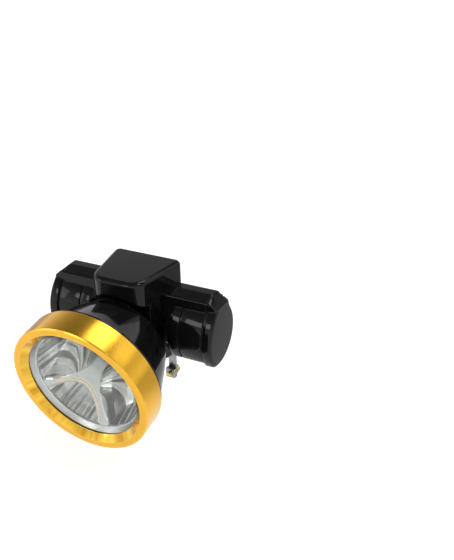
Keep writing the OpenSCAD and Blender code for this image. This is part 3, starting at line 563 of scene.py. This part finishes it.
def head_shell():
    """The bell as a nearly straight cone with a shallow recess for the neck."""
    back_z, flange_z, lip_z = SHELL_LEN - SHELL_WALL, FLANGE_Z + FLANGE_T + 0.05, LIP_T + 1
    cone_z = BELL_Z + 1.5
    cone_len = BELL_END - cone_z
    outline = fillet([
        (0, back_z), (17.8, back_z), (23.6, 37.5, 1.0), (BOARD_R, SHOULDER_Z + 1),
        (BOARD_R - 5.5, SHOULDER_Z), (BOARD_R + 0.2, SHOULDER_Z), (BOARD_R + 0.2, FLOOR_Z),
        (SHELF_R, BELL_Z + 1), (SHELF_R, flange_z), (LENS_R + 0.2, flange_z),
        (LENS_R + 0.2, lip_z), (SKIRT_R - 0.05, lip_z), (SKIRT_R - 0.05, BELL_Z),
        (BELL_R, BELL_Z, 0.3), (BELL_R, BELL_Z + 1, 0.4), (CONE_R + 0.1, BELL_Z + 1.6, 0.8),
        (CONE_R - CONE_FALL * cone_len / 2, (BELL_END + cone_z) / 2, 60),
        (CONE_R - CONE_END_FALL * cone_len, BELL_END, 1.8), (20.7, BELL_END, 0.4), (20.4, SHELL_LEN, 0.3),
        (0, SHELL_LEN)], 8)
    new_piece("bell_moulded", lathe(outline, 192), "lamp_head", "head_shell", "black_gloss", HEAD)


def cup_of(x, y):
    """The cup on whose side of the web a point lies."""
    turn = math.atan2(-y, x) % (2 * math.pi)
    first, second, third = CUP_SPLITS
    return CUPS[0 if first < turn <= second else 1 if second < turn <= third else 2]


def inside_cup(x, y):
    """Distance of a point inside the edge of its cup, below 0 on the web."""
    inside = [radius - math.hypot(x - cx, y - cy) for cx, cy, radius in cup_of(x, y)[0]]
    return smooth_min(*inside, 5.0) if len(inside) == 2 else inside[0]


def reflector_depth(x, y):
    """Depth of the mirror's front face at a point, from the bowl, the star web and the three cups."""
    r = math.hypot(x, y)
    web = WEB_Z - WEB_DOME * r * r
    depth = web + smooth_max(0, along(cup_of(x, y)[1], inside_cup(x, y)), 0.9)
    depth = smooth_min(depth, CUP_FLOOR, 1.0)
    return smooth_min(depth, along(BOWL_WALL, r), 0.8)


def reflector():
    """The mirror's face as rings from the middle outwards, closest at the rim, then its flange and back."""
    bm = bmesh.new()
    streaks = bm.verts.layers.float_vector.new("streaks")
    painted_tan_reflection = bm.verts.layers.float.new("painted_tan_reflection")
    radii = [0.01] + [0.45 * k for k in range(1, 51)] + [22.5 + 0.28 * k for k in range(1, 19)]
    radii += [28.0 + 0.13 * k for k in range(15)] + [BOWL_R]
    segments = 288
    rings = []
    for r in radii:
        ring = []
        for x, y in circle(r, segments):
            vert = bm.verts.new((x, y, reflector_depth(x, y)))
            # Mostly the direction from the axis, so that the ripples and the painted reflection streaks run
            # down the walls
            vert[streaks] = vert.co * 0.03 + Vector((x, y, 0)) * (22 / max(r, 6))
            # Painted tan reflection along the second cup's edge
            if cup_of(x, y) is CUPS[1]:
                vert[painted_tan_reflection] = along(TAN_REFLECTION_EDGE, inside_cup(x, y)) * along(TAN_REFLECTION_REACH, r)
            ring.append(vert)
        rings.append(ring)
    for r, z in ((BOWL_R + 0.25, BOWL_Z - 0.2), (RIM_R - 0.2, FLANGE_Z + 0.12), (RIM_R, FLANGE_Z),
                 (LENS_R, FLANGE_Z), (LENS_R, FLANGE_Z + FLANGE_T), (SHELF_R - 0.3, FLANGE_Z + FLANGE_T),
                 (SHELF_R - 0.8, BOWL_Z + 8), (BOARD_R + 2.7, FLOOR_Z - 4), (BOARD_R, FLOOR_Z)):
        rings.append([bm.verts.new((x, y, z)) for x, y in circle(r, segments)])
    for a, b in zip(rings, rings[1:]):
        for k in range(segments):
            n = (k + 1) % segments
            bm.faces.new((a[k], b[k], b[n], a[n]))
    turns = [math.radians(-CUP_TURN - 120 * i) for i in range(3)]
    holes = [Vector((EMITTER_RING * math.cos(a), EMITTER_RING * math.sin(a))) for a in turns]
    cut = [f for f in bm.faces if any((f.calc_center_median().xy - h).length < EMITTER_HOLE_R for h in holes)
           and f.calc_center_median().z > FLOOR_Z - 3]
    bmesh.ops.delete(bm, geom=cut, context="FACES")
    bmesh.ops.remove_doubles(bm, verts=bm.verts, dist=0.02)
    new_piece("reflector_three_cup", bm, "lamp_head", "reflector", "mirror_coat", HEAD)


def front_lens():
    back_z = LENS_Z + LENS_T
    outline = fillet([(0, LENS_Z), (LENS_R, LENS_Z, 0.3), (LENS_R, back_z, 0.3), (0, back_z)])
    new_piece("lens_clear", lathe(outline, 128), "lamp_head", "front_lens", "clear_lens", HEAD)


# ---- housing ----

def block_ring(inset, z):
    """Plan outline of the block: four round corners, the sides drawn in towards the front."""
    front, back = FRONT_HALF - FRONT_CORNER, BACK_HALF - BACK_CORNER
    yf, yb = BLOCK_FRONT + FRONT_CORNER, BLOCK_BACK - BACK_CORNER
    out = []
    for cx, cy, r, a0, a1, steps in (
            (front, yf, FRONT_CORNER, -90, -SIDE_TURN, 14),
            (back, yb, BACK_CORNER, -SIDE_TURN, 90, 9),
            (-back, yb, BACK_CORNER, 90, 180 + SIDE_TURN, 9),
            (-front, yf, FRONT_CORNER, 180 + SIDE_TURN, 270, 14)):
        for k in range(steps + 1):
            a = math.radians(a0 + (a1 - a0) * k / steps)
            out.append((cx + (r - inset) * math.cos(a), cy + (r - inset) * math.sin(a), z))
    return out


def main_housing():
    """The block with a rounded top, cut to its side view, with the arch, the bay, the pockets and holes."""
    rings = [block_ring(0, z) for z in (-BLOCK_DROP, 0, 12, 20, 28, BLOCK_TOP - TOP_ROUND)]
    for k in range(1, 10):
        a = math.radians(10 * k)
        rings.append(block_ring(TOP_ROUND * (1 - math.cos(a)), BLOCK_TOP - TOP_ROUND * (1 - math.sin(a))))
    cheek = [(CHEEK_FRONT + CHEEK_R * (1 - math.sin(a)), -BLOCK_DROP + CHEEK_R * (1 - math.cos(a)))
             for a in (math.radians(90 - 5 * k) for k in range(19))]
    side = [(BLOCK_FRONT - 1, BLOCK_TOP + 1), (BLOCK_FRONT - 1, VISOR_LOW), (CHEEK_FRONT, VISOR_LOW), *cheek,
            (0, -BLOCK_DROP), (0, BLOCK_TOP + 1)]
    arch = skin([[(x, y, z + ARCH_Z) for x, z in circle(r, 128)]
                 for y, r in ((BLOCK_FRONT - ARCH_DEPTH, ARCH_R + 2 * ARCH_FLARE),
                              (BLOCK_FRONT + ARCH_DEPTH, ARCH_R), (CHEEK_FRONT, ARCH_R))])
    face = COVER_FACE + 0.01
    cutters = [
        arch,
        span((-BAY_HALF, BLOCK_FRONT - 1, -BLOCK_DROP - 1), (BAY_HALF, face, BAY_TOP)),
        span((-COVER_HALF, COVER_FACE, -COVER_DROP), (COVER_HALF, 1, COVER_TOP)),
        span((-POCKET_HALF, COVER_FACE - 25, POCKET_FLOOR), (POCKET_HALF, face, COVER_TOP - 0.15))]
    for s in (-1, 1):
        cutters.append(prism(circle(CHEEK_SCREW_R, 24, CHEEK_SCREW_Y, CHEEK_SCREW_Z), "x", s * 15.2, s * 30))
        cutters.append(prism(circle(AXLE_HOLE_R, 40, AXLE_Y, 0), "x", s * 16.2, s * 30))
    bm = carve(skin(rings), prism(side, "x", -30, 30), *cutters)
    new_piece("housing_moulded", soften(bm, 0.4), "housing", "main_housing", "black_gloss", flats=True)


def roof_line(inset):
    """Outer line of the roof over a barrel, from front wall to sloping back, about the barrel's middle."""
    front = ROOF_FRONT + inset
    crest = front + 7.5
    line = fillet([
        (front, BARREL_Z + 6), (front, ROOF_LOW - inset, 1.0), (crest, ROOF_TOP - inset, 1.6),
        (crest + 6 - 1.5 * inset, ROOF_TOP - inset, 1.4),
        (BARREL_Y + BARREL_R * 0.86 - inset, BARREL_Z + 8.6)], 6)
    return [(y - BARREL_Y, z - BARREL_Z) for y, z in line]


def barrel_angles():
    """Angles round a barrel in radians: every 3 degrees, and closer over the roof's corners."""
    out = [3.0 * k for k in range(120)]
    for low, high, step in ((97.5, 104, 0.4), (75.5, 80.5, 0.7), (61.5, 66, 0.7), (28, 32, 1.0)):
        k = low
        while k < high:
            out.append(k)
            k += step
    return [math.radians(a) for a in sorted(set(out))]


ANGLES = barrel_angles()


def barrel_ring(x, inset=0.0, roof=0.0):
    """Section of a barrel at x: a drawn-in circle under a roof. roof is the roof's inset, or None."""
    line = roof_line(roof) if roof is not None else []
    dy, dz = BARREL_Y - FRONT_Y, BARREL_Z - FRONT_Z
    front_r = FRONT_R - inset - 0.7 * smooth_max(TAPER_X - x, 0, 1.2)
    ring = []
    for t in ANGLES:
        u, v = math.cos(t), math.sin(t)
        toward = dy * u + dz * v
        front = -toward + math.sqrt(max(0, toward ** 2 - dy ** 2 - dz ** 2 + front_r ** 2))
        r = smooth_min(front, BARREL_R - inset, 0.8)
        for (y0, z0), (y1, z1) in zip(line, line[1:]):
            ey, ez = y1 - y0, z1 - z0
            turn = u * ez - v * ey
            if turn * (y0 * ez - z0 * ey) <= 0 or (u * z0 - v * y0) * (u * z1 - v * y1) > 0:
                continue
            top = (y0 * ez - z0 * ey) / turn
            r = smooth_max(r, top, 1.0)
            break
        else:
            if line:
                off = math.degrees(math.atan2(line[-1][1], line[-1][0])) - math.degrees(t)
                if 0 <= off < 12:
                    r = smooth_max(r, math.hypot(*line[-1]) - 0.25 * off, 1.0)
        if x > SEAM_X and v > 0.3:
            r = smooth_min(r, (CAP_LOW + (CAP_X - x) * 0.9167 - BARREL_Z) / v, 0.6)
        ring.append((x, BARREL_Y + u * r, BARREL_Z + v * r))
    return ring


def groove():
    """Stations over the groove with its rounded edges, as pairs of place and inset."""
    edge = ((-0.3, 0), (-0.1, 0.04), (0, 0.2), (0.04, GROOVE_DEPTH - 0.1), (0.12, GROOVE_DEPTH))
    return [(GROOVE_X + x, inset) for x, inset in edge] + [
        (GROOVE_X + GROOVE_W - x, inset) for x, inset in reversed(edge)]


def mirrored(bm, left):
    """The form as it is drawn on the right, or its mirror image on the left."""
    if left:
        bmesh.ops.scale(bm, vec=(-1, 1, 1), verts=bm.verts)
    return bm


def barrel(name, node, left):
    """A barrel open at its cap end. The left one has the charging pad and the flap's two ears below it."""
    stations = [(x, 0) for x in (15.5, 20, 24.8, 25.4, 26, 26.7, 28)] + groove()
    stations += [(38, 0), (45.1, 0), (45.35, 0.06), (45.46, 0.22), (SEAM_X, 0.5)]
    rings = [barrel_ring(x, inset) for x, inset in stations]
    rings += [barrel_ring(SEAM_X, BARREL_WALL, None), barrel_ring(INNER_X, BARREL_WALL, None)]
    parts = [skin(rings)]
    if left:
        holes = [circle(1.52, 32, PAD_X + s * 3, BARREL_Y) for s in (-1, 1)]
        outline = rounded(PAD_X, 6, BARREL_Y - 6, BARREL_Y + 6, 0.8, 0.8, 4)
        parts.append(plate([outline, *holes], PAD_Z, PAD_Z + 4, 0.25))
        for s in (-1, 1):
            x = PAD_X + s * 5
            ear = fillet([(-20.9, -17.1, 0.5), (-17.1, -17.1, 1.2), (-17.1, -7, 0.3), (-20.9, -7, 0.3)], 4)
            parts.append(soften(prism(ear, "x", x - 0.95, x + 0.95), 0.2))
    new_piece(name, mirrored(merge(*parts), left), "housing", node, "black_gloss")


def end_cap(name, node, left):
    """A cap from its spigot over the seam and the step to its crowned end, the left one round the button."""
    rings = [barrel_ring(x, inset, roof) for x, inset, roof in (
        (PLATE_IN, 3.2, None), (SPIGOT_X, 3.2, None), (SPIGOT_X, 2.1, None), (45.55, 2.1, None),
        (45.55, 0.9, 0.25), (45.62, 0.9, 0.08), (45.8, 0.9, 0), (46.34, 0.9, 0), (46.38, -0.6, 0),
        (46.46, -0.86, 0), (46.7, -CAP_STEP, 0), (48.5, -CAP_STEP, 0), (50.2, -CAP_STEP, 0))]
    face_x = CAP_X - 0.06
    for k in range(9):
        a = math.radians(11 * k)
        drop = CAP_ROUND * (1 - math.cos(a))
        rings.append(barrel_ring(face_x - CAP_ROUND + CAP_ROUND * math.sin(a), drop - CAP_STEP, drop))
    rim = rings[-1]
    for share, lift in ((0.1, 0.02), (0.3, 0.05), (0.6, 0.06)):
        rings.append([(face_x + lift, y + (CELL_Y - y) * share, z + (BARREL_Z - z) * share)
                      for _, y, z in rim])
    if left:
        for gap, x in ((0.9, CAP_X), (0.6, CAP_X - 0.02), (0.25, CAP_X - 0.14), (0.1, CAP_X - 0.45),
                       (0.1, PLATE_IN)):
            r = BUTTON_R + gap
            rings.append([(x, CELL_Y + r * math.cos(t), BARREL_Z + r * math.sin(t)) for t in ANGLES])
        rings.append(rings[0])
    bm = skin(rings, closed=not left)
    bmesh.ops.remove_doubles(bm, verts=bm.verts, dist=0.001)
    new_piece(name, mirrored(bm, left), "housing", node, "black_gloss")


# ---- hook blade, screws and rubber pieces ----

def hook_blade():
    """One strip of steel: the flat blank with its tongue and holes, then bent over the hook gap."""
    low, top = -8.0, 20.0
    bend = math.pi * BEND_R
    foot = top + bend + 44
    outline = fillet([
        (TONGUE_X - 2.5, -46, 0.9), (TONGUE_X + 2.5, -46, 0.9), (TONGUE_X + 2.5, low, 0.15),
        (BLADE_HALF, low, 0.15), (BLADE_HALF, foot, 2.5), (-BLADE_HALF, foot, 2.5),
        (-BLADE_HALF, low, 1.2), (TONGUE_X - 2.5, low, 0.6)])
    holes = [circle(1.6, 32, TONGUE_X, CLAMP_Z)]
    holes += [circle(1.9, 32, 0, z) for z in (5, 14)]
    holes += [circle(2.6, 40, 0, top + bend + top - z) for z in (5, 14)]
    bm = plate([outline, *holes], -BLADE_HALF_T, BLADE_HALF_T, 0.2)
    for k in range(13):
        bmesh.ops.bisect_plane(bm, geom=[*bm.verts, *bm.edges, *bm.faces],
                               plane_co=(0, top + bend * k / 12, 0), plane_no=(0, 1, 0), dist=0.001)
    for v in bm.verts:
        x, s, t = v.co
        if s <= top:
            v.co = (x, GAP_MIDDLE - BEND_R - t, s)
        elif s < top + bend:
            a = (s - top) / BEND_R
            v.co = (x, GAP_MIDDLE - (BEND_R + t) * math.cos(a), top + (BEND_R + t) * math.sin(a))
        else:
            v.co = (x, GAP_MIDDLE + BEND_R + t, 2 * top + bend - s)
    new_piece("blade_bent", bm, "housing", "hook_blade", "blade_steel")


def screw_head(r, height):
    """A low round head with a cross recess, its top at z = height."""
    w, half = 0.2 * r, 0.62 * r
    cross = [(-w, -half), (w, -half), (w, -w), (half, -w), (half, w), (w, w), (w, half), (-w, half), (-w, w),
             (-half, w), (-half, -w), (-w, -w)]
    return merge(plate([circle(r, 40), cross], height * 0.35, height, 0.12 * height),
                 plate([circle(r - 0.02, 40)], 0, height * 0.4, 0.02))


def screws(name, node, places, r, height, depth, shank):
    """Screws seen from behind: each head's underside lies at y = depth and the shank runs forward."""
    back = Matrix.Rotation(math.radians(-90), 4, "X")
    parts = []
    for k, (x, z) in enumerate(places):
        part = merge(screw_head(r, height), prism(circle(r * 0.5, 20), "z", -shank, 0.05))
        bmesh.ops.rotate(part, matrix=Matrix.Rotation(0.5 + 1.1 * k, 3, "Z"), verts=part.verts)
        bmesh.ops.transform(part, matrix=Matrix.Translation((x, depth, z)) @ back, verts=part.verts)
        parts.append(part)
    new_piece(name, merge(*parts), "housing", node, "steel", flats=True)


def power_button():
    outline = fillet([
        (0, 48.7), (5.8, 48.7, 0.2), (5.8, 49.4, 0.2), (BUTTON_R - 0.02, 49.4, 0.1),
        (BUTTON_R - 0.02, 52.75, 0.5), (4.2, 53.0, 0.2), (4.05, 53.5, 0.35), (3.3, 53.62, 0.15),
        (3.05, 53.35, 0.15), (2.75, 53.35, 0.15), (2.5, 53.66, 0.15), (1.2, 53.64, 0.5), (0, 53.45)], 4)
    turn = Matrix.Translation((0, CELL_Y * MM, BARREL_Z * MM)) @ Matrix.Rotation(math.radians(-90), 4, "Y")
    new_piece("button_moulded", lathe(outline, 96), "button", "power_button", "soft_rubber", turn)


def charge_flap():
    """Rubber flap with a raised border and three grip ribs, on its hinge roll."""
    x, y0, y1 = -PAD_X, BARREL_Y - 6, BARREL_Y + 4.6
    top, low = PAD_Z - 0.05, PAD_Z - 1.85
    body = plate([rounded(x, 6, y0, y1, 1.2, 0.5, 5)], low + 0.35, top, 0.25, 3)
    border = plate([rounded(x, 5.8, y0 + 0.2, y1 - 0.2, 1.1, 0.4, 5),
                    rounded(x, 4.9, y0 + 1.1, y1 - 1.1, 0.6, 0.4, 4)], low, low + 0.6, 0.15)
    ribs = [plate([rounded(x, 3.4, y, y + 0.7, 0.3, 0.3, 3)], low + 0.02, low + 0.6, 0.12)
            for y in (y0 + 2.2, y0 + 3.6, y0 + 5.0)]
    web = span((x - 3.65, y1 - 0.3, low + 0.1), (x + 3.65, FLAP_HINGE_Y, top - 0.02))
    roll = prism(circle(0.88, 32, FLAP_HINGE_Y, FLAP_HINGE_Z), "x", x - 3.68, x + 3.68)
    new_piece("flap_moulded", merge(body, border, *ribs, web, roll), "flap", "charge_flap", "soft_rubber",
              flats=True)


BODY = {node: body for body, members in frame["record"]["behaviour"]["bodies"].items() for node in members}
SLOT = {s["node"]: s["material_slot"] for s in frame["record"]["subparts"]}


def soft_copy(node, width, steps=2):
    """The node's own form with its edges rounded."""
    bm = bmesh.new()
    bm.from_mesh(nodes[node].data)
    bmesh.ops.scale(bm, vec=(1 / MM, 1 / MM, 1 / MM), verts=bm.verts)
    soften(bm, width, steps, weld=0.002)
    new_piece(node + "_softened", bm, BODY[node], node, SLOT[node], flats=True)


def dress_nodes():
    for name, node in nodes.items():
        node.data.materials.clear()
        node.data.materials.append(MATERIALS[SLOT[name]])


# ---- camera, light and floor ----

def camera():
    """The photo's camera, found from the bezel's ellipse and the block's edges."""
    focal_px, photo_px, sensor = 750, 560, 36
    data = bpy.data.cameras.new("camera")
    data.lens, data.sensor_width = focal_px * sensor / photo_px, sensor
    data.clip_start, data.clip_end = 0.01, 20
    cam = new_object("camera", data)
    right, down, ahead = (0.9036, 0.4283, -0.0125), (0.189, -0.4245, -0.8855), (-0.3845, 0.7977, -0.4645)
    m = Matrix((Vector(right), -Vector(down), -Vector(ahead))).transposed().to_4x4()
    m.translation = (0.20444, -0.33223, 0.21668)
    cam.matrix_world = m
    bpy.context.scene.camera = cam


def area(name, way, distance, size, level):
    """A soft box seen from the lamp in the direction way. level is its brightness."""
    data = bpy.data.lights.new(name, "AREA")
    data.shape = "RECTANGLE"
    data.size, data.size_y = size
    data.energy = level * math.pi * size[0] * size[1]
    light = new_object(name, data)
    aim = Vector((0, -0.04, 0))
    light.location = aim + Vector(way).normalized() * distance
    light.rotation_mode = "QUATERNION"
    light.rotation_quaternion = (aim - light.location).to_track_quat("-Z", "Y")


def stage():
    """White floor, just below the lowest place that the lamp head reaches."""
    tilt = math.radians(REST_TILT + TILT_DOWN)
    low = -(HEAD_REACH * math.sin(tilt) + BEZEL_R * math.cos(tilt) + 0.4) * MM
    bm = bmesh.new()
    bm.faces.new([bm.verts.new((x, y, low)) for x, y in circle(9.0, 64)])
    mesh = bpy.data.meshes.new("floor")
    bm.to_mesh(mesh)
    bm.free()
    floor = new_object("floor", mesh)
    m = Material("floor_paper", Roughness=0.85, Specular_IOR_Level=0.1, Emission_Color=(1, 1, 1, 1))
    m.to(m.colours(m.noise(3), (0.3, (0.86, 0.86, 0.865)), (0.7, (0.89, 0.89, 0.89))), "Base Color")
    # In reflections the floor is bright in front of the lamp and dark behind it
    share = m.ramp(m.split(m.coord)["Y"], 0.85, 0.05, -0.03, 0.06)
    far = m.ramp(m.from_axis()[1], 0.7, 0.86, 0.4, 2.0)
    m.to(m.math("MULTIPLY", m.seen(share), far), "Emission Strength")
    m.bump(m.noise(900), 0.05)
    mesh.materials.append(m.material)


def lights():
    """White for the camera, a room that is darker upwards for other rays, and five soft boxes."""
    world = bpy.data.worlds.new("world")
    bpy.context.scene.world = world
    world.use_nodes = True
    w = Nodes(world.node_tree)
    back = w.tree.nodes["Background"]
    way = w.split(w.node("ShaderNodeTexCoord").outputs["Generated"])
    sky = w.colours(way["Z"], (0.12, (1.0,) * 3), (0.5, (0.4,) * 3), (0.78, (0.2,) * 3))
    room = w.blend(1.0, sky, w.ramp(way["Y"], 1.3, 1.0, -0.85, -0.1), "MULTIPLY")
    camera_ray = w.node("ShaderNodeLightPath").outputs["Is Camera Ray"]
    w.feed(w.blend(camera_ray, room, (1, 1, 1)), back.inputs["Color"])
    w.feed(w.ramp(w.seen(), 0.65, 1, 0, 1), back.inputs["Strength"])
    area("ceiling", (0.16, 0.45, 0.87), 1.2, (0.6, 0.45), 3.6)
    area("side", (0.62, 0.5, 0.6), 1.3, (0.5, 0.5), 1.0)
    area("strip", (0.5, -0.1, 0.87), 1.1, (0.1, 0.4), 12)
    area("front", (-0.3, -0.85, 0.45), 1.2, (0.5, 0.25), 4.0)
    area("window", (-0.8, -0.55, 0.3), 1.3, (0.5, 0.5), 1.6)


make_materials()
dress_nodes()
camera()
bezel_ring()
head_shell()
reflector()
front_lens()
main_housing()
for side, left in (("right", False), ("left", True)):
    barrel(f"barrel_{side}_moulded", f"barrel_{side}", left)
    end_cap(f"cap_{side}_moulded", f"end_cap_{side}", left)
hook_blade()
power_button()
charge_flap()
screws("cover_screw_heads", "cover_screws", [(x, z) for x in (-SCREW_X, SCREW_X) for z in (-12.6, 27.7)],
       1.9, 0.8, -8.95, 6.0)
screws("hook_screw_heads", "hook_screws", [(0, 5), (0, 14)], 1.9, 0.65, -7.25, 2.3)
soft_copy("tilt_knuckle", 0.4)
soft_copy("rear_cover", 0.3)
soft_copy("clamp_nut", 0.35, 3)
soft_copy("clamp_screw", 0.25)
soft_copy("charge_contacts", 0.15)
stage()
lights()
bpy.context.scene.view_settings.view_transform = "Standard"
